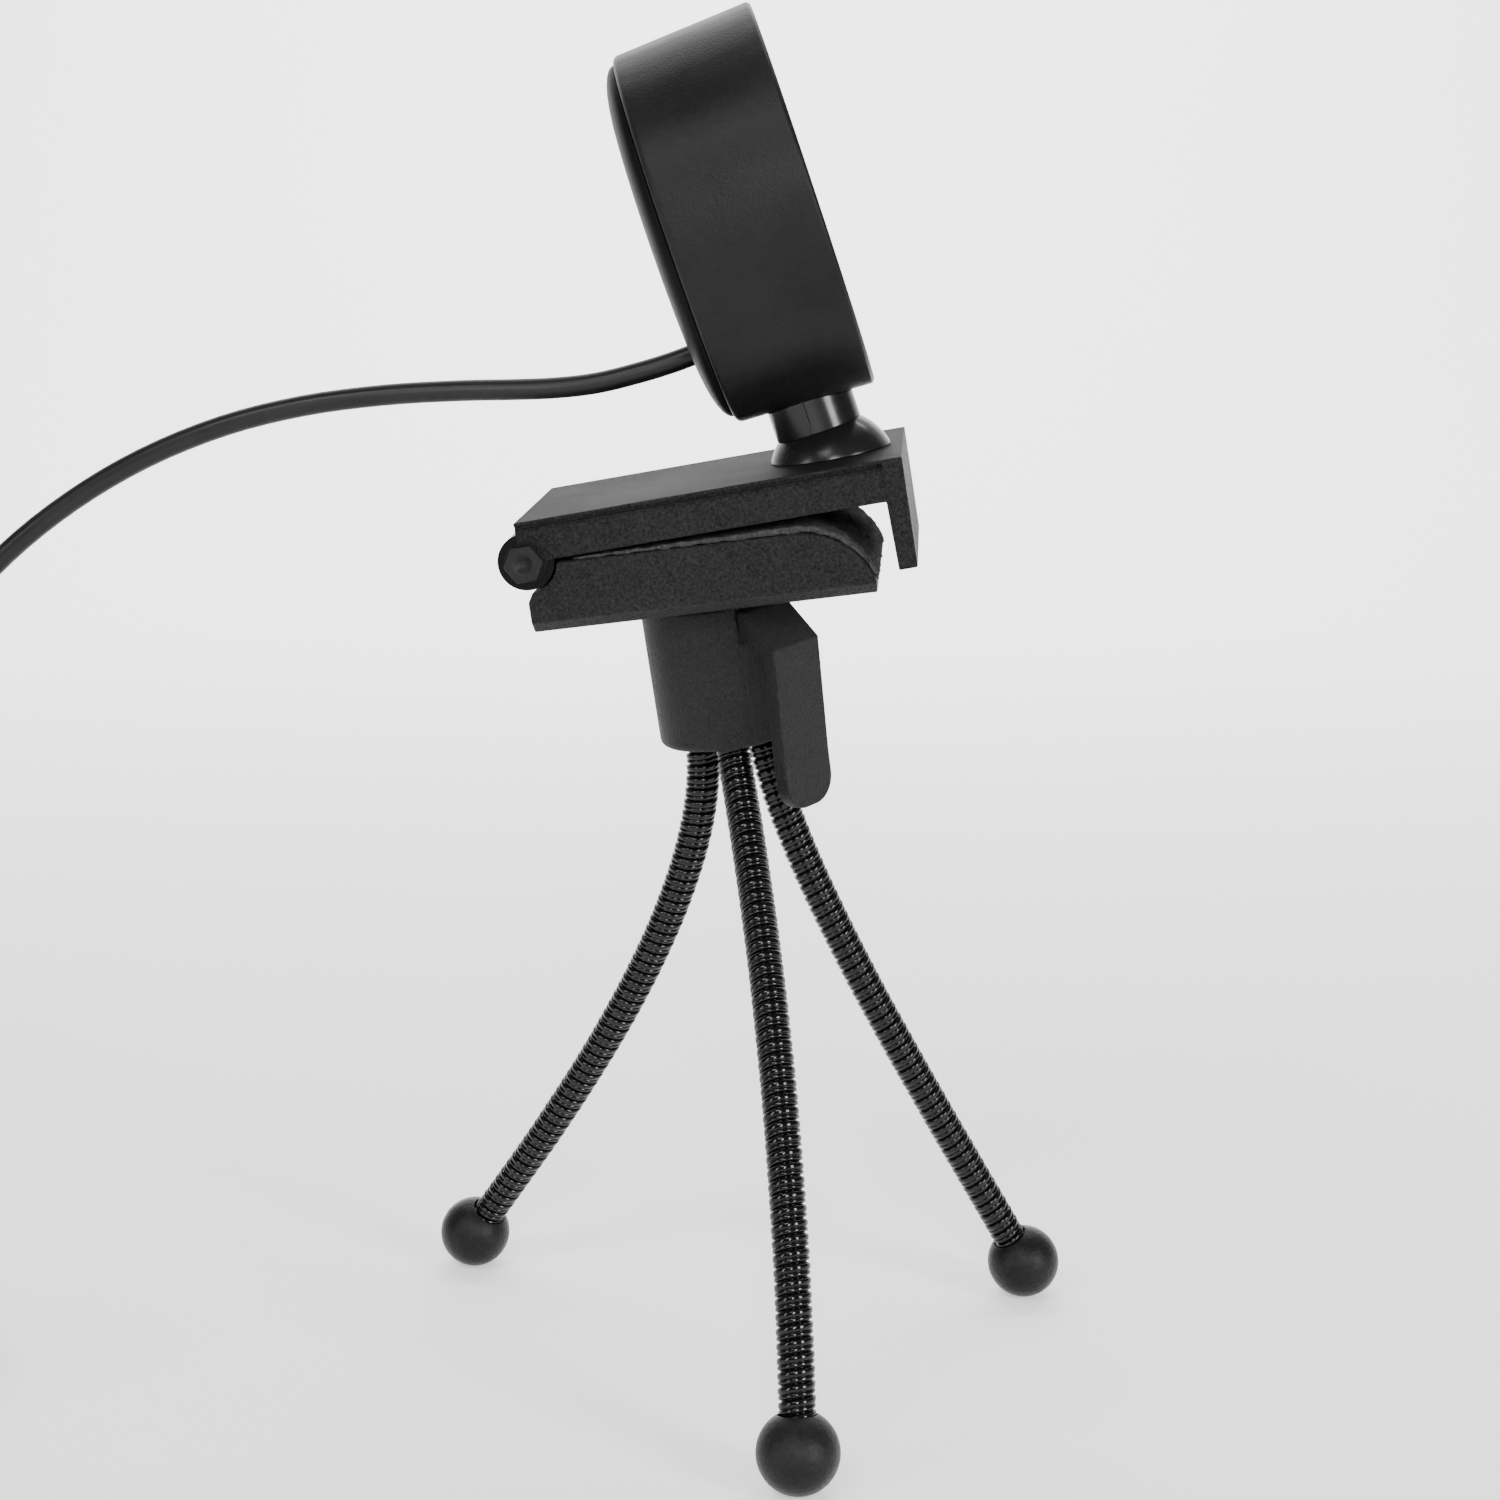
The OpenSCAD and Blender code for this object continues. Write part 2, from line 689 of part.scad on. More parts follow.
// The cord leaves the back of the head, falls to the ground, is wound up there and ends in its plug.
lead_route = [
  [-8.2, 8.4, 166.9], [-11.5, 8.5, 165.7], [-16.4, 8.6, 164.2], [-23.3, 8.8, 162.5], [-29.8, 9, 161.7],
  [-36.5, 9, 161.4], [-46, 9, 161.2], [-58, 9, 160.5], [-71, 9, 158.8], [-84, 9, 155.6],
  [-97, 9, 150.4], [-109, 9, 143.5], [-120, 9, 135], [-130, 9, 124.6], [-139, 9, 112.5],
  [-147, 9, 99], [-154, 9, 84.5], [-160, 8.8, 69.5], [-165, 8.2, 54.5], [-168.6, 6.6, 40.5],
  [-170.8, 3.2, 28.5], [-171.6, -2, 20], [-171.75, -8.5, 14.5], [-171.75, -15, 12.25]
];
coil_at = [-150, -15];
coil_r = 20;
tail_route = [
  [-171.75, -15, 1.75], [-171.75, -22, 1.8], [-171.75, -29, 2.3], [-171.75, -36, 3.3], [-171.75, -43, 4]
];
plug_at = [-171.75, -43, 4];

module cord_lead() {
  color(rubber_black) sweep(lead_route, [for (p = lead_route) cord_d / 2], 8);
}

module cord_coil() {
  color(rubber_black) translate(coil_at) tube(coil_r + cord_d, coil_r - cord_d, 0, 4 * cord_d);
}

module cord_tail() {
  color(rubber_black) sweep(tail_route, [for (p = tail_route) cord_d / 2], 8);
}

// The plug lies flat on the ground and points away from the coil.
module in_plug() {
  translate(plug_at) rotate([90, 0, 0]) children();
}

module usb_body() {
  color(rubber_black) in_plug() difference() {
    union() {
      translate([-7.8, -4, 6]) cube([15.6, 8, 20]);
      cylinder(h = 6, r1 = 2.6, r2 = 3.6);
    }
    translate([-6, -2.25, 20]) cube([12, 4.5, 10]);
  }
}

module usb_shell() {
  color(steel) in_plug() difference() {
    translate([-6, -2.25, 20]) cube([12, 4.5, 18]);
    translate([-5.7, -1.95, 20.3]) cube([11.4, 3.9, 20]);
  }
}

module usb_tongue() {
  color("#e9e9ea") in_plug() translate([-5.6, 0, 20.4]) cube([11.2, 1.9, 17]);
}

hub();
leg_top_left();
leg_top_right();
leg_top_front();
gooseneck_left();
gooseneck_right();
gooseneck_front();
foot_left();
foot_right();
foot_front();
tripod_screw();
screw_retainer();
grip_washer();
lever();
jaw();
jaw_pad();
tripod_nut();
clip_bar();
hinge_bolt();
hinge_nut();
hinge_washers();
swivel_dome();
tilt_pin();
swivel_ring();
head_neck();
neck_screw();
main_housing();
back_cover();
face_plate();
lens_ring();
lens_barrel();
lens_glass();
lens_holder();
image_sensor();
circuit_board();
board_screws();
microphones();
led_window();
board_plug();
cord_gland();
cord_lead();
cord_coil();
cord_tail();
usb_body();
usb_shell();
usb_tongue();
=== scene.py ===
"""Looks of the webcam on its mini tripod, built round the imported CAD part. Lengths are in metres."""
import json
import math

import bmesh
import bpy
from mathutils import Matrix, Vector, noise


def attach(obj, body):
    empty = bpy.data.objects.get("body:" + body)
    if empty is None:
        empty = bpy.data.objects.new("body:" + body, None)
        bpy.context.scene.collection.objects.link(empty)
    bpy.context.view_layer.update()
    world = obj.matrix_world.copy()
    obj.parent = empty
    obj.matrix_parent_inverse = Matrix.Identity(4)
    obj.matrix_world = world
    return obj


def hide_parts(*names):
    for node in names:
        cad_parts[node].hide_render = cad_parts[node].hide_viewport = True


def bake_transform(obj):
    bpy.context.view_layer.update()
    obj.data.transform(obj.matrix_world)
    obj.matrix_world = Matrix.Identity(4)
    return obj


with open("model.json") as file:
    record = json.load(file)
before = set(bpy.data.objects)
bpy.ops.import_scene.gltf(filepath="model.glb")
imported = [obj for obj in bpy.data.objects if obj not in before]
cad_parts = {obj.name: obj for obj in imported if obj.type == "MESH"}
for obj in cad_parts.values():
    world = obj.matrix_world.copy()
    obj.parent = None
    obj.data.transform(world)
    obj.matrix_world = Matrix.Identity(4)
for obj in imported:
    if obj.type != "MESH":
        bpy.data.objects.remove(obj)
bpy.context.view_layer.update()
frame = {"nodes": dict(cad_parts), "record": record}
joints = {j["name"]: j for j in frame["record"]["behaviour"]["joints"]}
MM = 0.001
SHARP_ANGLE = 40     # degrees; edges sharper than this stay sharp on softened pieces

# Places and sizes of the object, in millimetres and degrees.
head_tilt_at_rest = -8.7
clip_turn_height = 25     # from the hub's bottom to the centre the clip turns about
plug_start = (-171.75, -43, 4)
cord_diameter = 3.5
cord_skin = 1.74     # the drawn cord's radius, just inside the CAD cord
coil_centre = (-150, -15, 0)
coil_wide = 21.75
coil_narrow = 18.25
coil_top = 12.25
coil_layers = 4
wire_pitch = 2.13
wire_radius = 2.88
leg_root_r = 6
foot_r = 6.33
foot_hole_r = 2.95
clip_half = 20.4     # just outside the clip's side
ear_half = 19.4     # where the recessed side of a hinge ear lies
pad_half = 19.65     # half the foam's width
pad_nose = (16.1, 22.9)
pad_nose_r = 12.4
pad_bottom = 35.3     # where the foam lies on the jaw, above the hub's bottom
pad_back = -19     # where the foam starts, at the hinge's side
pad_t = 1.3
pad_end_t = 0.6
neck_skin = 7.1     # how far out the seams of the neck lie


# ---- frames of the moving parts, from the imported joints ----

def axis_of(joint):
    return Vector(joints[joint]["axis"]).normalized()


def frame_at(origin, y, z):
    x = y.cross(z)
    place = Matrix((x, y, z)).transposed().to_4x4()
    place.translation = origin
    return place


hinge_y = -axis_of("clip_open")
clip_at = frame_at(Vector(joints["clip_open"]["pos_m"]), hinge_y, axis_of("head_pan"))
hub_z = axis_of("clip_turn")
hub_at = frame_at(Vector(joints["clip_turn"]["pos_m"]) - hub_z * clip_turn_height * MM, hinge_y, hub_z)
swivel_at = frame_at(Vector(joints["head_tilt"]["pos_m"]), -axis_of("head_tilt"), axis_of("head_pan"))
head_at = swivel_at @ Matrix.Rotation(math.radians(head_tilt_at_rest), 4, "Y")
plug_at = Matrix.Translation([v * MM for v in plug_start]) @ Matrix.Rotation(math.radians(90), 4, "X")


# ---- materials ----

def node(tree, kind, **inputs):
    made = tree.nodes.new(kind)
    for name, value in inputs.items():
        made.inputs[name.replace("_", " ")].default_value = value
    return made


def material(name, low, high, rough, grain, bump, metallic=0.0, coat=0.0, level=0.5, mottle=60, fleck=0.0):
    """Two colours mixed in clouds and, by fleck, in fine specks; roughness that varies in rough=(from, to),
    and a bump grain of grain=(scale, detail) raised by bump metres."""
    made = bpy.data.materials.new(name)
    made.use_nodes = True
    tree = made.node_tree
    shader = tree.nodes["Principled BSDF"]
    place = node(tree, "ShaderNodeTexCoord").outputs["Object"]
    cloud = node(tree, "ShaderNodeTexNoise", Scale=mottle, Detail=4, Roughness=0.6)
    fine = node(tree, "ShaderNodeTexNoise", Scale=grain[0], Detail=grain[1], Roughness=0.65)
    for pattern in (cloud, fine):
        tree.links.new(place, pattern.inputs["Vector"])
    ramp = tree.nodes.new("ShaderNodeValToRGB")
    ramp.color_ramp.elements[0].position = 0.3
    ramp.color_ramp.elements[0].color = (*low, 1)
    ramp.color_ramp.elements[1].position = 0.7
    ramp.color_ramp.elements[1].color = (*high, 1)
    specks = tree.nodes.new("ShaderNodeMix")
    specks.inputs["Factor"].default_value = fleck
    tree.links.new(cloud.outputs["Fac"], specks.inputs["A"])
    tree.links.new(fine.outputs["Fac"], specks.inputs["B"])
    tree.links.new(specks.outputs["Result"], ramp.inputs["Fac"])
    tree.links.new(ramp.outputs["Color"], shader.inputs["Base Color"])
    blend = node(tree, "ShaderNodeMath", Value=0.35)
    blend.operation = "MULTIPLY_ADD"
    tree.links.new(fine.outputs["Fac"], blend.inputs[0])
    blend.inputs[1].default_value = 0.4
    tree.links.new(cloud.outputs["Fac"], blend.inputs[2])
    spread = node(tree, "ShaderNodeMapRange")
    spread.inputs["From Min"].default_value = 0.35
    spread.inputs["From Max"].default_value = 1.0
    spread.inputs["To Min"].default_value = rough[0]
    spread.inputs["To Max"].default_value = rough[1]
    tree.links.new(blend.outputs[0], spread.inputs["Value"])
    tree.links.new(spread.outputs["Result"], shader.inputs["Roughness"])
    raised = node(tree, "ShaderNodeBump", Strength=1.0, Distance=bump)
    tree.links.new(fine.outputs["Fac"], raised.inputs["Height"])
    tree.links.new(raised.outputs["Normal"], shader.inputs["Normal"])
    shader.inputs["Metallic"].default_value = metallic
    shader.inputs["Coat Weight"].default_value = coat
    shader.inputs["Coat Roughness"].default_value = 0.08
    shader.inputs["Specular IOR Level"].default_value = level
    return made


def grey(value, warm=0.0):
    return (value * (1 + warm), value, value * (1.04 - warm))


housing_mat = material("housing", grey(0.003), grey(0.008), (0.32, 0.44),
                       (2600, 3), 0.00006, level=0.12, fleck=0.4)
back_mat = material("back_cover", grey(0.002), grey(0.005), (0.4, 0.5),
                    (1400, 3), 0.00002, level=0.035, fleck=0.3)
clip_mat = material("clip", grey(0.0005), grey(0.036), (0.38, 0.58), (2100, 5), 0.0026, level=0.15, fleck=0.9)
# Painted shade: faces of the clip bar that turn upward get a darker, smoother copy of the clip's plastic, to
# hold down the light from above.
top_shade_mat = material("clip_top_shade", grey(0.004), grey(0.012), (0.5, 0.62),
                   (2400, 3), 0.0002, level=0.05, fleck=0.6)
hub_mat = material("hub", grey(0.005), grey(0.022), (0.42, 0.56), (2600, 4), 0.001, level=0.14, fleck=0.8)
smooth_mat = material("smooth_black", grey(0.004), grey(0.008), (0.2, 0.3), (1400, 2), 0.00001, level=0.25)
gloss_mat = material("gloss_black", grey(0.003), grey(0.006), (0.18, 0.28), (900, 2), 0.000006, level=0.3)
wire_mat = material("wire", grey(0.001), grey(0.002), (0.07, 0.13), (1800, 3), 0.00002, level=0.26)
foot_mat = material("ball_foot", grey(0.003), grey(0.011), (0.26, 0.38),
                    (1500, 5), 0.00012, level=0.11, fleck=0.6)
bolt_mat = material("black_steel", grey(0.004), grey(0.014), (0.26, 0.4),
                    (3000, 4), 0.00008, level=0.1, fleck=0.5)
# Painted shade: a near-black copy of the clip's plastic for the recessed faces of the hinge ears and for the
# shims that sit in that recess.
recess_shade_mat = material("hinge_recess_shade", grey(0.001), grey(0.003), (0.3, 0.42),
                   (2200, 3), 0.00003, level=0.08, fleck=0.4)
steel_mat = material("steel", grey(0.5), grey(0.62), (0.22, 0.4), (2500, 4), 0.000008, metallic=1.0)
foam_mat = material("foam", grey(0.001), grey(0.05), (0.8, 1.0),
                    (1900, 6), 0.0006, level=0.3, mottle=1100, fleck=0.7)
cord_mat = material("cord", grey(0.004), grey(0.008), (0.3, 0.42), (1200, 3), 0.000012, level=0.2)
plug_mat = material("plug_black", grey(0.008), grey(0.012), (0.4, 0.55), (2600, 3), 0.00002, level=0.45)
shell_mat = material("plug_metal", grey(0.66), grey(0.75), (0.14, 0.26), (1500, 3), 0.000004, metallic=1.0)
gold_mat = material("gold", (0.75, 0.5, 0.16), (0.85, 0.6, 0.22), (0.18, 0.3),
                    (1500, 3), 0.000004, metallic=1.0)
white_mat = material("white_nylon", grey(0.68, 0.01), grey(0.76, 0.01), (0.4, 0.5), (1500, 3), 0.00001)
face_mat = material("face_gloss", grey(0.003), grey(0.0045), (0.05, 0.1), (500, 2), 0.000002, coat=0.6)
lens_black_mat = material("lens_black", grey(0.004), grey(0.007), (0.5, 0.65), (3000, 3), 0.00001, level=0.35)
board_mat = material("board", (0.008, 0.055, 0.02), (0.012, 0.085, 0.03), (0.3, 0.42), (1400, 3), 0.00002)
sensor_mat = material("sensor", (0.02, 0.03, 0.06), (0.05, 0.04, 0.09), (0.08, 0.14),
                      (4000, 2), 0.000002, coat=0.6)
led_mat = material("led", (0.28, 0.36, 0.5), (0.38, 0.46, 0.6), (0.3, 0.4), (2500, 2), 0.00001)
coating_mat = material("lens_coating", (0.01, 0.012, 0.05), (0.03, 0.008, 0.045), (0.02, 0.04),
                        (300, 1), 0.000001, coat=1.0, level=0.8, mottle=160)
floor_mat = material("floor", (0.86, 0.86, 0.87), (0.88, 0.88, 0.89), (0.7, 0.8),
                     (300, 2), 0.00001, level=0.2, mottle=2)


# ---- mesh helpers ----

def add(name, mesh, body, surface, stands_for=()):
    piece = bpy.data.objects.new(name, mesh)
    bpy.context.scene.collection.objects.link(piece)
    mesh.materials.clear()
    mesh.materials.append(surface)
    if body:
        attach(piece, body)
    if stands_for:
        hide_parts(*stands_for)
    return piece


def mesh_from(made, name):
    """The finished mesh of a bmesh, which is freed."""
    mesh = bpy.data.meshes.new(name)
    made.to_mesh(mesh)
    made.free()
    return mesh


def smooth(mesh, angle=SHARP_ANGLE):
    mesh.shade_smooth()
    mesh.set_sharp_from_angle(angle=math.radians(angle))


def even_normals(piece):
    """Keeps large flat faces flat where they meet a rounded edge."""
    weigh = piece.modifiers.new("weigh", "WEIGHTED_NORMAL")
    weigh.keep_sharp = True


def cut(piece, cutters):
    """Takes the cutter meshes, given as (mesh, placement), out of the piece."""
    for mesh, place in cutters:
        tool = bpy.data.objects.new("cutter", mesh)
        bpy.context.scene.collection.objects.link(tool)
        tool.matrix_world = place
        take = piece.modifiers.new("take", "BOOLEAN")
        take.operation, take.solver, take.object = "DIFFERENCE", "EXACT", tool
        bpy.context.view_layer.update()
        done = bpy.data.meshes.new_from_object(piece.evaluated_get(bpy.context.evaluated_depsgraph_get()))
        piece.modifiers.clear()
        old, piece.data = piece.data, done
        bpy.data.meshes.remove(old)
        bpy.data.objects.remove(tool)


def block(low, high):
    """A box from its lowest and highest corners, in millimetres."""
    made = bmesh.new()
    bmesh.ops.create_cube(made, size=1)
    for v in made.verts:
        v.co = Vector((l + (h - l) * (c + 0.5) for l, h, c in zip(low, high, v.co))) * MM
    return mesh_from(made, "block")


def prism(outline, low, high, across):
    """A prism in millimetres. Its outline holds the two other coordinates, in their usual order."""
    ends = [[Vector((*p[:across], at, *p[across:])) * MM for p in outline] for at in (low, high)]
    made = bmesh.new()
    rows = [[made.verts.new(v) for v in end] for end in ends]
    for row in rows:
        made.faces.new(row)
    for k in range(len(outline)):
        n = (k + 1) % len(outline)
        made.faces.new((rows[0][k], rows[0][n], rows[1][n], rows[1][k]))
    bmesh.ops.recalc_face_normals(made, faces=made.faces)
    return mesh_from(made, "prism")


def revolve(profile, sides, place=Matrix(), closed=True):
    """A surface of revolution round Z of a profile of (radius, height) in millimetres."""
    made = bmesh.new()
    rings = []
    for r, z in profile:
        if r < 1e-6:
            rings.append([made.verts.new(place @ Vector((0, 0, z * MM)))])
            continue
        turns = [2 * math.pi * k / sides for k in range(sides)]
        ring = [Vector((r * MM * math.cos(a), r * MM * math.sin(a), z * MM)) for a in turns]
        rings.append([made.verts.new(place @ v) for v in ring])
    count = len(rings) if closed else len(rings) - 1
    for i in range(count):
        low, high = rings[i], rings[(i + 1) % len(rings)]
        if len(low) == 1 and len(high) == 1:
            continue
        for k in range(sides):
            n = (k + 1) % sides
            face = [low[k % len(low)], low[n % len(low)], high[n % len(high)], high[k % len(high)]]
            made.faces.new(list(dict.fromkeys(face)))
    bmesh.ops.recalc_face_normals(made, faces=made.faces)
    return mesh_from(made, "revolved")


def soften(nodes, name, body, surface, width, steps=3, angle=28):
    """A copy of CAD solids with their sharp edges rounded off by a width in millimetres."""
    made = bmesh.new()
    for n in nodes:
        made.from_mesh(frame["nodes"][n].data)
    bmesh.ops.remove_doubles(made, verts=made.verts, dist=1e-6)
    bmesh.ops.dissolve_limit(made, angle_limit=math.radians(0.6), verts=made.verts, edges=made.edges)
    sharp = [e for e in made.edges if len(e.link_faces) == 2 and e.calc_face_angle(0) > math.radians(angle)]
    bmesh.ops.bevel(made, geom=sharp, offset=width * MM, offset_type="OFFSET", segments=steps, profile=0.5,
                    affect="EDGES", clamp_overlap=False)
    mesh = mesh_from(made, name)
    smooth(mesh)
    piece = add(name, mesh, body, surface, nodes)
    even_normals(piece)
    return piece


# ---- camera, light and floor, in metres ----

camera = bpy.data.objects.new("camera", bpy.data.cameras.new("camera"))
bpy.context.scene.collection.objects.link(camera)
bpy.context.scene.camera = camera
camera.location = (1.0 * MM, -389.8 * MM, 163 * MM)
camera.rotation_euler = (math.radians(81.4), 0, 0)
camera.data.lens = 58.8
camera.data.sensor_width = 36
camera.data.clip_start = 0.01

floor_glow = floor_mat.node_tree.nodes["Principled BSDF"]
floor_glow.inputs["Emission Color"].default_value = (1, 1, 1, 1)
floor_glow.inputs["Emission Strength"].default_value = 0.4

world = bpy.data.worlds.new("studio")
bpy.context.scene.world = world
world.use_nodes = True
world.node_tree.nodes["Background"].inputs["Color"].default_value = (1, 1, 1, 1)
world.node_tree.nodes["Background"].inputs["Strength"].default_value = 0.25

sweep_mesh = bpy.data.meshes.new("backdrop")
sweep = bmesh.new()
sweep_r = 1.2
sweep_half = 4
sweep_turns = [math.radians(6 * i) for i in range(16)]
sweep_bend = [(sweep_r + sweep_r * math.sin(a), sweep_r - sweep_r * math.cos(a)) for a in sweep_turns]
outline = [(-2.5, 0)] + sweep_bend + [(2.4, 4.5)]
rows = [[sweep.verts.new((x, y, z)) for y, z in outline] for x in (-sweep_half, sweep_half)]
for i in range(len(outline) - 1):
    sweep.faces.new((rows[0][i], rows[1][i], rows[1][i + 1], rows[0][i + 1]))
sweep.to_mesh(sweep_mesh)
sweep.free()
sweep_mesh.shade_smooth()
backdrop = bpy.data.objects.new("backdrop", sweep_mesh)
bpy.context.scene.collection.objects.link(backdrop)
sweep_mesh.materials.append(floor_mat)


def lamp(name, place, at, size, power):
    made = bpy.data.objects.new(name, bpy.data.lights.new(name, "AREA"))
    bpy.context.scene.collection.objects.link(made)
    made.data.shape = "RECTANGLE"
    made.data.size, made.data.size_y = size
    made.data.energy = power
    made.location = place
    made.rotation_euler = (Vector(at) - Vector(place)).to_track_quat("-Z", "Y").to_euler()
    return made


lamp("top_box", (0.1, 0.25, 1.3), (0, 0, 0.12), (1.0, 0.7), 2.6)
lamp("key_box", (-0.5, -0.95, 1.15), (0, 0, 0.15), (0.6, 0.3), 9)
lamp("left_strip", (-0.95, -0.7, 0.3), (0, 0, 0.12), (0.2, 0.7), 6)
lamp("side_strip", (0.82, -0.76, 0.36), (0, 0, 0.12), (0.26, 0.6), 15)
lamp("camera_strip", (0.0, -1.15, 0.52), (0, 0, 0.1), (0.2, 0.5), 10)
lamp("back_wash", (0, 0.9, 1.6), (0, 2.2, 0.6), (2.0, 0.6), 110)


# ---- cord ----

lead_route = [
    (-8.2, 8.4, 166.9), (-11.5, 8.5, 165.7), (-16.4, 8.6, 164.2), (-23.3, 8.8, 162.5), (-29.8, 9, 161.7),
    (-36.5, 9, 161.4), (-46, 9, 161.2), (-58, 9, 160.5), (-71, 9, 158.8), (-84, 9, 155.6),
    (-97, 9, 150.4), (-109, 9, 143.5), (-120, 9, 135), (-130, 9, 124.6), (-139, 9, 112.5),
    (-147, 9, 99), (-154, 9, 84.5), (-160, 8.8, 69.5), (-165, 8.2, 54.5), (-168.6, 6.6, 40.5),
    (-170.8, 3.2, 28.5), (-171.6, -2, 20), (-171.75, -8.5, 14.5), (-171.75, -15, 12.25),
]
tail_route = [(-171.75, -22, 1.8), (-171.75, -29, 2.3), (-171.75, -36, 3.3), plug_start]


def through(points, steps):
    """A smooth curve through the points, with a number of steps between each two."""
    ends = [2 * points[0] - points[1], *points, 2 * points[-1] - points[-2]]
    line = []
    for a, b, c, d in zip(ends, ends[1:], ends[2:], ends[3:]):
        for i in range(steps):
            t = i / steps
            line.append(0.5 * (2 * b + (c - a) * t + (2 * a - 5 * b + 4 * c - d) * t * t
                               + (3 * b - a - 3 * c + d) * t ** 3))
    return [*line, points[-1]]


def coil_route(layers, wide, narrow, top, drop, per_turn=28):
    """Two turns a layer, from outside in on one layer and from inside out on the next. The steps from turn
    to turn and down to the next layer are taken in the last part of each turn."""
    line = []
    radii = []
    for layer in range(layers):
        radii += [wide, narrow] if layer % 2 == 0 else [narrow, wide]
    for turn, r in enumerate(radii):
        after = radii[min(turn + 1, len(radii) - 1)]
        z = top - drop * (turn // 2)
        z_after = top - drop * (min(turn + 1, len(radii) - 1) // 2)
        for k in range(per_turn):
            t = k / per_turn
            move = max(0, (t - 0.7) / 0.3)
            move = move * move * (3 - 2 * move)
            a = math.pi + 2 * math.pi * t
            out = r + (after - r) * move
            line.append(Vector((out * math.cos(a), out * math.sin(a), z + (z_after - z) * move)))
    return line


lead = through([Vector(p) for p in lead_route], 4)
coil = coil_route(coil_layers, coil_wide, coil_narrow, coil_top, cord_diameter)
winding = [p + Vector(coil_centre) for p in coil]
tail = through([Vector((-171.75, -15, 1.75)), *[Vector(p) for p in tail_route]], 4)
cord_line = [p * MM for p in [*lead[:-1], *winding, *tail]]

curve = bpy.data.curves.new("cord", "CURVE")
curve.dimensions = "3D"
curve.bevel_depth = cord_skin * MM
curve.bevel_resolution = 5
curve.use_fill_caps = True
spline = curve.splines.new("POLY")
spline.points.add(len(cord_line) - 1)
for point, at in zip(spline.points, cord_line):
    point.co = (*at, 1)
cord = bpy.data.objects.new("cord", curve)
bpy.context.scene.collection.objects.link(cord)
curve.materials.append(cord_mat)
spline.use_smooth = True
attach(cord, "head")
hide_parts("cord_lead", "cord_coil", "cord_tail")

# The plug: a moulded grip with finger ribs, a folded metal shell with two latch holes, and gold contacts.
grip = soften(["usb_body"], "plug_grip", "head", plug_mat, 0.9, 4)
rib_cutters = []
for left, right in ((-8.4, -7.45), (7.45, 8.4)):
    for k in range(5):
        rib_cutters.append((block((left, -2.6, 10.2 + 2.2 * k), (right, 2.6, 11.2 + 2.2 * k)), plug_at))
cut(grip, rib_cutters)
smooth(grip.data)
even_normals(grip)

shell = soften(["usb_shell"], "plug_shell", "head", shell_mat, 0.12, 2)
cut(shell, [(block((s * 3 - 1.2, -3, 30), (s * 3 + 1.2, 3, 32.4)), plug_at) for s in (-1, 1)])
smooth(shell.data)
even_normals(shell)

contacts = bmesh.new()
for k in range(4):
    bar = bmesh.new()
    bmesh.ops.create_cube(bar, size=1)
    x, long = (-3.5 + 2.333 * k), (8.4 if k in (0, 3) else 7.2)
    for v in bar.verts:
        at = Vector((x + v.co.x * 1.1, -0.04 + v.co.y * 0.1, 36.6 - long / 2 + v.co.z * long))
        v.co = plug_at @ (at * MM)
    bmesh.ops.bevel(bar, geom=bar.edges, offset=0.03 * MM, segments=1, affect="EDGES")
    mesh = mesh_from(bar, "bar")
    contacts.from_mesh(mesh)
    bpy.data.meshes.remove(mesh)
contact_bars = add("plug_contacts", mesh_from(contacts, "plug_contacts"), "head", gold_mat)


# ---- gooseneck legs and ball feet ----

def leg_line(angle, drop, bend, foot):
    """The leg's centreline as close points on a curve that starts inside the hub and ends inside the foot,
    and that curve's four control points."""
    a = math.radians(angle)
    root = Vector((leg_root_r * math.cos(a), leg_root_r * math.sin(a), 0)) * MM
    q = [hub_at @ root, hub_at @ (root - Vector((0, 0, drop * MM))), Vector(bend) * MM, Vector(foot) * MM]
    steps, last = 1200, 0.975
    dense = []
    for i in range(steps + 1):
        t = i / steps * last
        dense.append((1 - t) ** 3 * q[0] + 3 * (1 - t) ** 2 * t * q[1]
                     + 3 * (1 - t) * t * t * q[2] + t ** 3 * q[3])
    start = dense[0] + (hub_at.to_3x3() @ Vector((0, 0, 1))) * 3 * MM
    return [start, *dense], q


def along(points, spacing):
    """Points at even steps along the line through the given points, and its length."""
    marks = [0.0]
    for a, b in zip(points, points[1:]):
        marks.append(marks[-1] + (b - a).length)
    count = int(marks[-1] / spacing)
    line, i = [], 0
    for k in range(count + 1):
        want = marks[-1] * k / count
        while i < len(points) - 2 and marks[i + 1] < want:
            i += 1
        line.append(points[i].lerp(points[i + 1], (want - marks[i]) / (marks[i + 1] - marks[i])))
    return line, marks[-1]


# Where the rows of points lie within one turn, closer together at the two grooves.
TURN = (0, 0.02, 0.045, 0.08, 0.14, 0.22, 0.31, 0.4, 0.48, 0.54,
        0.57, 0.59, 0.61, 0.64, 0.7, 0.79, 0.87, 0.93, 0.96, 0.985)


def wire_height(t):
    """How far the wound surface lies under its crest through one turn, in millimetres: a wide crowned wire,
    a shallow groove, a narrow crowned wire and a deep groove."""
    wide = 0.59
    if t < wide:
        crown = 0.19 * abs(2 * t / wide - 1) ** 2.3
    else:
        crown = 0.06 + 0.13 * abs(2 * (t - wide) / (1 - wide) - 1) ** 2.3
    deep_groove = 0.42 * math.exp(-(min(t, 1 - t) / 0.08) ** 2)
    shallow_groove = 0.1 * math.exp(-((t - wide) / 0.025) ** 2)
    return crown + deep_groove + shallow_groove


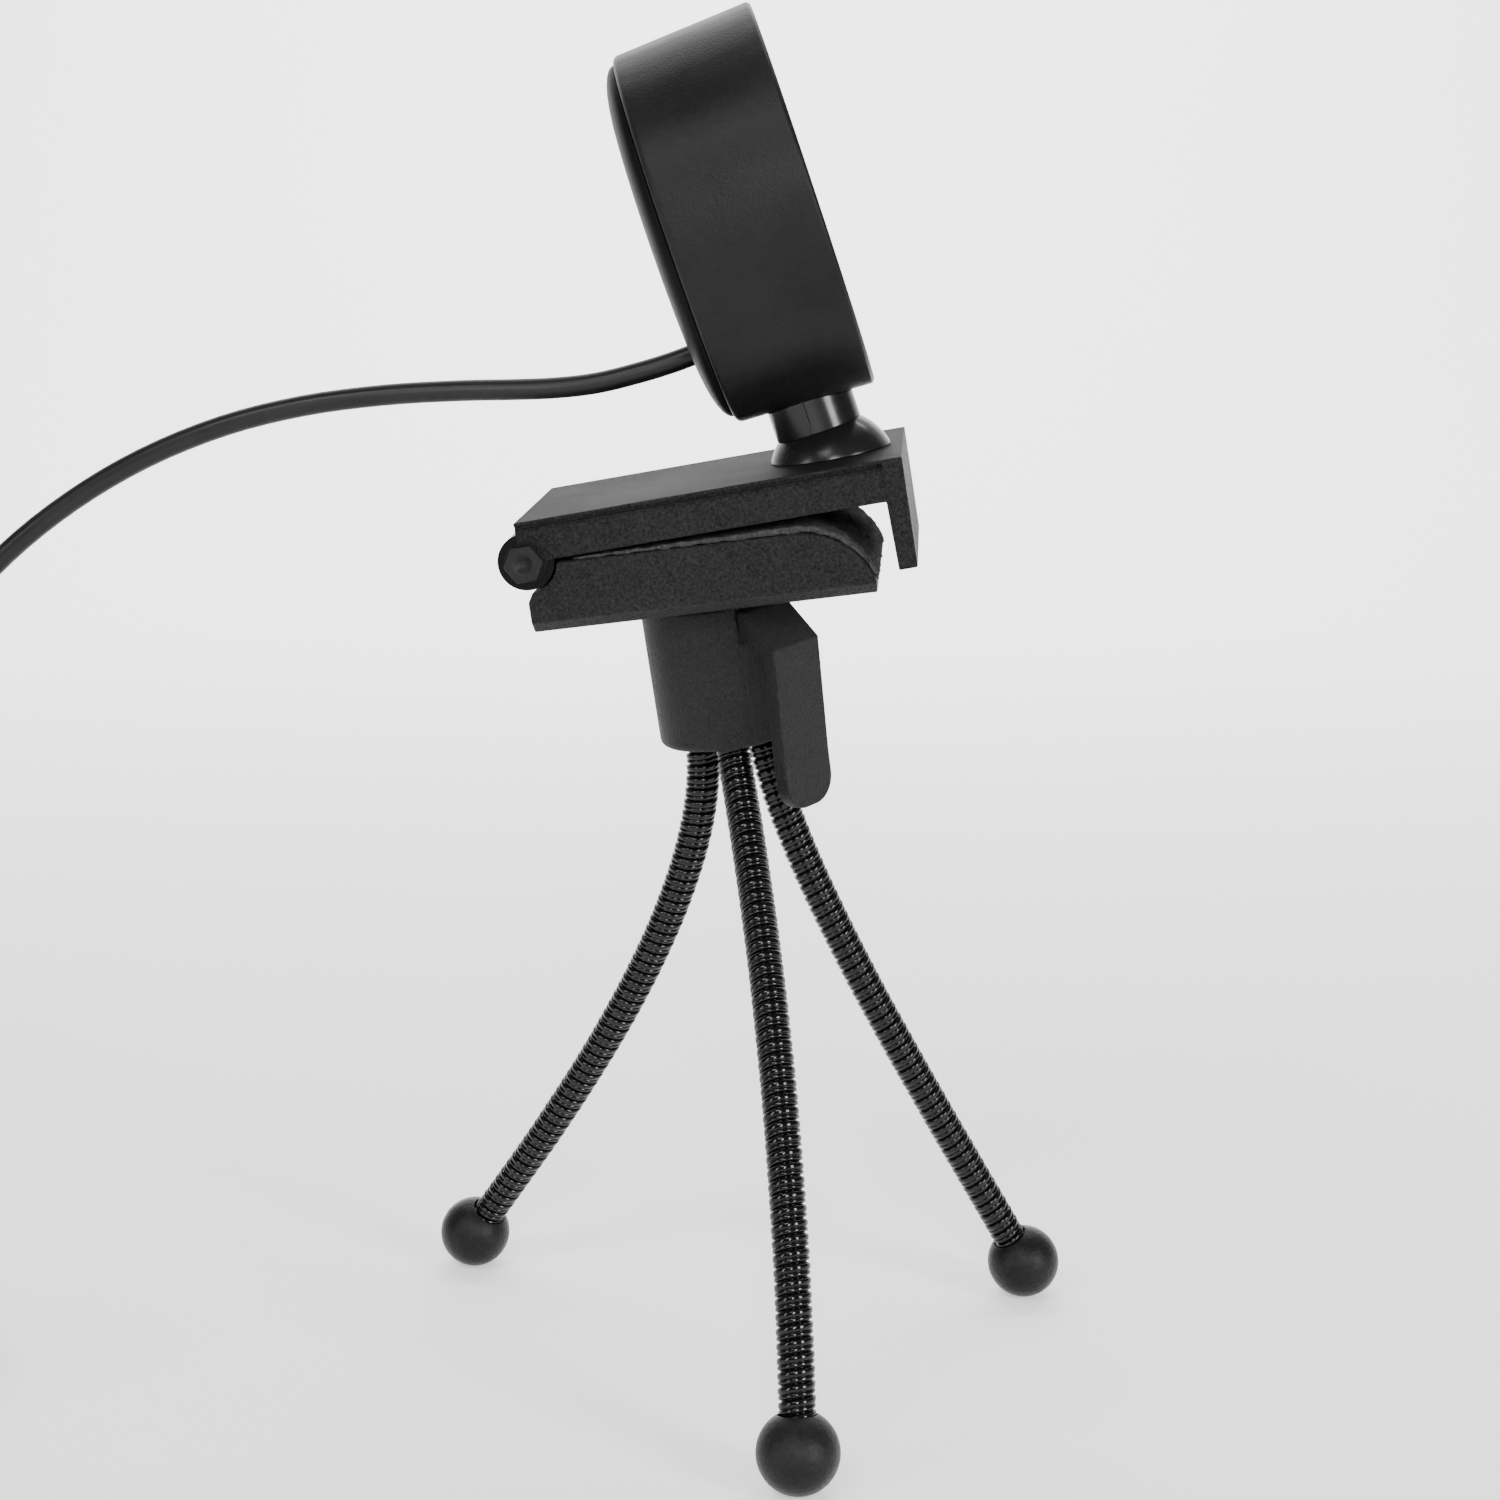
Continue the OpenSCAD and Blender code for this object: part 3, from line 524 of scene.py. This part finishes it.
def wound_leg(name, angle, drop, bend, foot, seed):
    """A leg's wound wire. The rows of points follow the winding, so its grooves stay sharp."""
    pitch, radius, sides = wire_pitch * MM, wire_radius * MM, 32
    points, q = leg_line(angle, drop, bend, foot)
    line, length = along(points, 0.3 * MM)
    side = Vector((0, 1, 0))
    frames = []
    for i, p in enumerate(line):
        way = (line[min(i + 1, len(line) - 1)] - line[max(i - 1, 0)]).normalized()
        side = (side - way * side.dot(way)).normalized()
        frames.append((p, side, way.cross(side)))
    made = bmesh.new()
    count = len(TURN) * (int(length / pitch) + 3)
    rows = []
    for i in range(count):
        turn, part = divmod(i, len(TURN))
        row = []
        for k in range(sides):
            at = min(max(pitch * (turn + TURN[part] + k / sides - 1), 0), length) / length * (len(line) - 1)
            low = min(int(at), len(line) - 2)
            p, u, v = (a.lerp(b, at - low) for a, b in zip(frames[low], frames[low + 1]))
            a = 2 * math.pi * k / sides
            wobble = 0.04 * noise.noise(Vector((at * 0.03, k * 0.12, seed)))
            row.append(made.verts.new(p + (u * math.cos(a) + v * math.sin(a)) *
                                      (radius + (wobble - wire_height(TURN[part])) * MM)))
        rows.append(row)
    for i in range(count - 1):
        for k in range(sides - 1):
            made.faces.new((rows[i][k], rows[i][k + 1], rows[i + 1][k + 1], rows[i + 1][k]))
        if i + 1 + len(TURN) < count:
            j = i + len(TURN)
            made.faces.new((rows[i][-1], rows[j][0], rows[j + 1][0], rows[i + 1][-1]))
    bmesh.ops.remove_doubles(made, verts=made.verts, dist=1e-7)
    bmesh.ops.dissolve_degenerate(made, edges=made.edges, dist=1e-7)
    bmesh.ops.holes_fill(made, edges=[e for e in made.edges if e.is_boundary], sides=0)
    bmesh.ops.recalc_face_normals(made, faces=made.faces)
    mesh = mesh_from(made, name)
    mesh.shade_smooth()
    side_name = name.split("_")[1]
    piece = add(name, mesh, None, wire_mat, ["leg_top_" + side_name, "gooseneck_" + side_name])
    way = (q[2] - q[0]).normalized()
    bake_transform(piece)
    return q


def ball_foot(name, q, body, tilt):
    """A moulded ball with a fine parting line, and a short flared mouth where the leg goes in."""
    way = (q[2] - q[3]).normalized()
    x = way.cross(Vector((0, 0, 1))).normalized()
    place = Matrix((x, way.cross(x), way)).transposed().to_4x4()
    place.translation = q[3]
    ball_r, hole_r = foot_r, foot_hole_r
    mouth = math.asin(hole_r / ball_r)
    steps = 46
    arc = []
    for i in range(steps + 1):
        a = mouth + 0.07 + (math.pi - mouth - 0.07) * i / steps
        arc.append((ball_r * math.sin(a), ball_r * math.cos(a)))
    arc[-1] = (0, -ball_r)
    lip_z = ball_r * math.cos(mouth)
    hole_deep = 4
    lip = [(hole_r, lip_z - hole_deep), (hole_r, lip_z - 0.45),
           (hole_r + 0.06, lip_z - 0.2), (hole_r + 0.22, lip_z - 0.06)]
    mesh = revolve([(0, lip_z - hole_deep), *lip, *arc], 72, place, closed=False)
    seam_way = (place.to_3x3() @ Vector((math.cos(tilt), 0.25, math.sin(tilt)))).normalized()
    for v in mesh.vertices:
        out = v.co - q[3]
        if out.length > (ball_r - 0.05) * MM:
            off = abs(out.dot(seam_way)) / MM
            rise = 0.05 * math.exp(-(off / 0.14) ** 2) - 0.04 * math.exp(-((off - 0.35) / 0.15) ** 2)
            v.co = q[3] + out.normalized() * (ball_r + rise * 0.6) * MM
    mesh.shade_smooth()
    add(name, mesh, body, foot_mat, [name.replace("ball", "foot")])


# Each leg's direction at the hub, its straight drop, the point its curve is drawn towards, its foot's centre,
# and the slant of the foot's parting line in radians.
legs = {
    "left": (155, 30, (-38, 40.5, 25), (-50.1, 47.6, 6.35), 0.4),
    "right": (35, 24, (34.5, 27.6, 35), (50.1, 32.1, 6.35), -0.9),
    "front": (-85, 12, (7.2, -32, 64), (8.1, -47.6, 6.35), 0.7),
}
for side_name, (angle, drop, bend, foot, tilt) in legs.items():
    q = wound_leg("wire_" + side_name, angle, drop, bend, foot, tilt)
    ball_foot("ball_" + side_name, q, "leg_" + side_name, tilt)


# ---- hub, lever and clip ----

soften(["hub"], "hub_shell", "stand", hub_mat, 0.35)
soften(["lever"], "lever_arm", "lever", hub_mat, 0.28)
soften(["grip_washer"], "grip_ring", "stand", foam_mat, 0.1, 2)

bar = soften(["clip_bar"], "clip_bar_shell", "clip", clip_mat, 0.22)
top_groove = [(19.35, 5.9), (21, 5.9), (21, 4.4), (20, 4.75), (19.7, 5.2), (19.35, 5.3)]
ear_face = [(-0.7, 6.3), (-5.2, 6.3), (-5.2, -5.2), (5.2, -5.2), (5.2, -0.15), (-0.7, -0.15)]
bar_cutters = []
for side in (-1, 1):
    bar_cutters.append((prism([(side * y, z) for y, z in top_groove], -1, 57.6, 0), clip_at))
    bar_cutters.append((prism(ear_face, side * ear_half, side * clip_half, 1), clip_at))
cut(bar, bar_cutters)
smooth(bar.data)
even_normals(bar)
bar.data.materials.append(recess_shade_mat)
bar.data.materials.append(top_shade_mat)
to_clip = clip_at.inverted()
for face in bar.data.polygons:
    at = to_clip @ face.center / MM
    # Faces of the recessed hinge ears take the painted recess shade.
    if abs(at.y) > 13.4 and math.hypot(at.x, at.z) < 4.65 and (at.x < -0.72 or at.z < -0.17):
        face.material_index = 1
    # Faces turned upward take the darker painted top shade.
    elif face.normal.dot(clip_at.col[2].to_3d()) > 0.95:
        face.material_index = 2

# The shims wear the same painted recess shade.
shims = revolve([(1.6, 19.35), (3.5, 19.35), (3.5, 19.9), (3.35, 20), (1.6, 20)], 48)
for v in shims.vertices:
    v.co = clip_at @ Vector((v.co.x, -v.co.z, v.co.y))
smooth(shims, 35)
add("hinge_shim", shims, "clip", recess_shade_mat)

soften(["jaw"], "jaw_shell", "jaw", clip_mat, 0.22)

soften(["hinge_bolt"], "hinge_bolt_head", "clip", bolt_mat, 0.18)
soften(["hinge_nut"], "hinge_nut_body", "clip", bolt_mat, 0.18)


def foam_strip():
    """The jaw's foam, as a fine grid over the CAD pad's outline, with its surface and edges left ragged."""
    nose, r, t, end_t = pad_nose, pad_nose_r, pad_t, pad_end_t
    line = []
    flat_steps, nose_steps, nose_turn = 60, 30, 73
    back_t = 0.55
    for i in range(flat_steps + 1):
        x = pad_back + (nose[0] - pad_back) * i / flat_steps
        line.append(((x, pad_bottom), (x, pad_bottom + back_t + (t - back_t) * (i / flat_steps))))
    for i in range(1, nose_steps + 1):
        a = math.radians(90 - nose_turn * i / nose_steps)
        away = (math.cos(a), math.sin(a))
        thick = t + (end_t - t) * i / nose_steps
        line.append(tuple((nose[0] + rr * away[0], nose[1] + rr * away[1]) for rr in (r, r + thick)))
    made = bmesh.new()
    half, across, deep = pad_half, 90, 3
    rows = []
    for low, high in line:
        row = []
        for j in range(across + 1):
            y = -half + 2 * half * j / across
            column = [Vector((low[0] + (high[0] - low[0]) * d / deep, y,
                              low[1] + (high[1] - low[1]) * d / deep)) * MM for d in range(deep + 1)]
            row.append([made.verts.new(v) for v in column])
        rows.append(row)
    n, m = len(rows) - 1, across
    for i in range(n):
        for j in range(m):
            made.faces.new((rows[i][j][deep], rows[i + 1][j][deep],
                            rows[i + 1][j + 1][deep], rows[i][j + 1][deep]))
            made.faces.new((rows[i][j][0], rows[i][j + 1][0], rows[i + 1][j + 1][0], rows[i + 1][j][0]))
    for d in range(deep):
        for i in range(n):
            for j in (0, m):
                made.faces.new((rows[i][j][d], rows[i + 1][j][d], rows[i + 1][j][d + 1], rows[i][j][d + 1]))
        for j in range(m):
            for i in (0, n):
                made.faces.new((rows[i][j][d], rows[i][j + 1][d], rows[i][j + 1][d + 1], rows[i][j][d + 1]))
    bmesh.ops.recalc_face_normals(made, faces=made.faces)
    made.normal_update()
    for v in made.verts:
        lump = noise.noise(v.co * 900) * 0.3 + noise.noise(v.co * 2600) * 0.22
        v.co += v.normal * (lump - 0.2) * MM
        v.co = hub_at @ v.co
    mesh = mesh_from(made, "foam")
    mesh.shade_smooth()
    return mesh


foam = add("foam_strip", foam_strip(), "jaw", foam_mat, ["jaw_pad"])


# ---- swivel and camera head ----

soften(["swivel_dome"], "dome_shell", "swivel", smooth_mat, 0.15)
neck = soften(["head_neck"], "neck_shell", "head", gloss_mat, 0.12)
seam_cutters = []
for side in (-1, 1):
    near = (-1.33, side * neck_skin - 0.35, 5)
    far = (-1.09, side * neck_skin + 0.35, 30)
    seam_cutters.append((block(near, far), head_at))
cut(neck, seam_cutters)
smooth(neck.data)
even_normals(neck)
soften(["main_housing"], "housing_shell", "head", housing_mat, 0.18)
soften(["back_cover"], "back_shell", "head", back_mat, 0.12)
soften(["cord_gland"], "cord_sleeve", "head", cord_mat, 0.15)
soften(["face_plate"], "face_disc", "head", face_mat, 0.15)
soften(["lens_ring"], "lens_bezel", "head", gloss_mat, 0.15)


# ---- CAD solids that stay as they are ----

kept = {
    "tripod_screw": steel_mat, "screw_retainer": steel_mat, "tripod_nut": steel_mat,
    "hinge_washers": steel_mat, "tilt_pin": steel_mat, "swivel_ring": steel_mat, "neck_screw": steel_mat,
    "board_screws": steel_mat, "microphones": steel_mat, "lens_barrel": lens_black_mat,
    "lens_holder": lens_black_mat, "lens_glass": coating_mat, "image_sensor": sensor_mat,
    "circuit_board": board_mat, "led_window": led_mat, "board_plug": white_mat, "usb_tongue": white_mat,
}
for name, surface in kept.items():
    solid = frame["nodes"][name]
    for place in solid.material_slots:
        place.material = surface
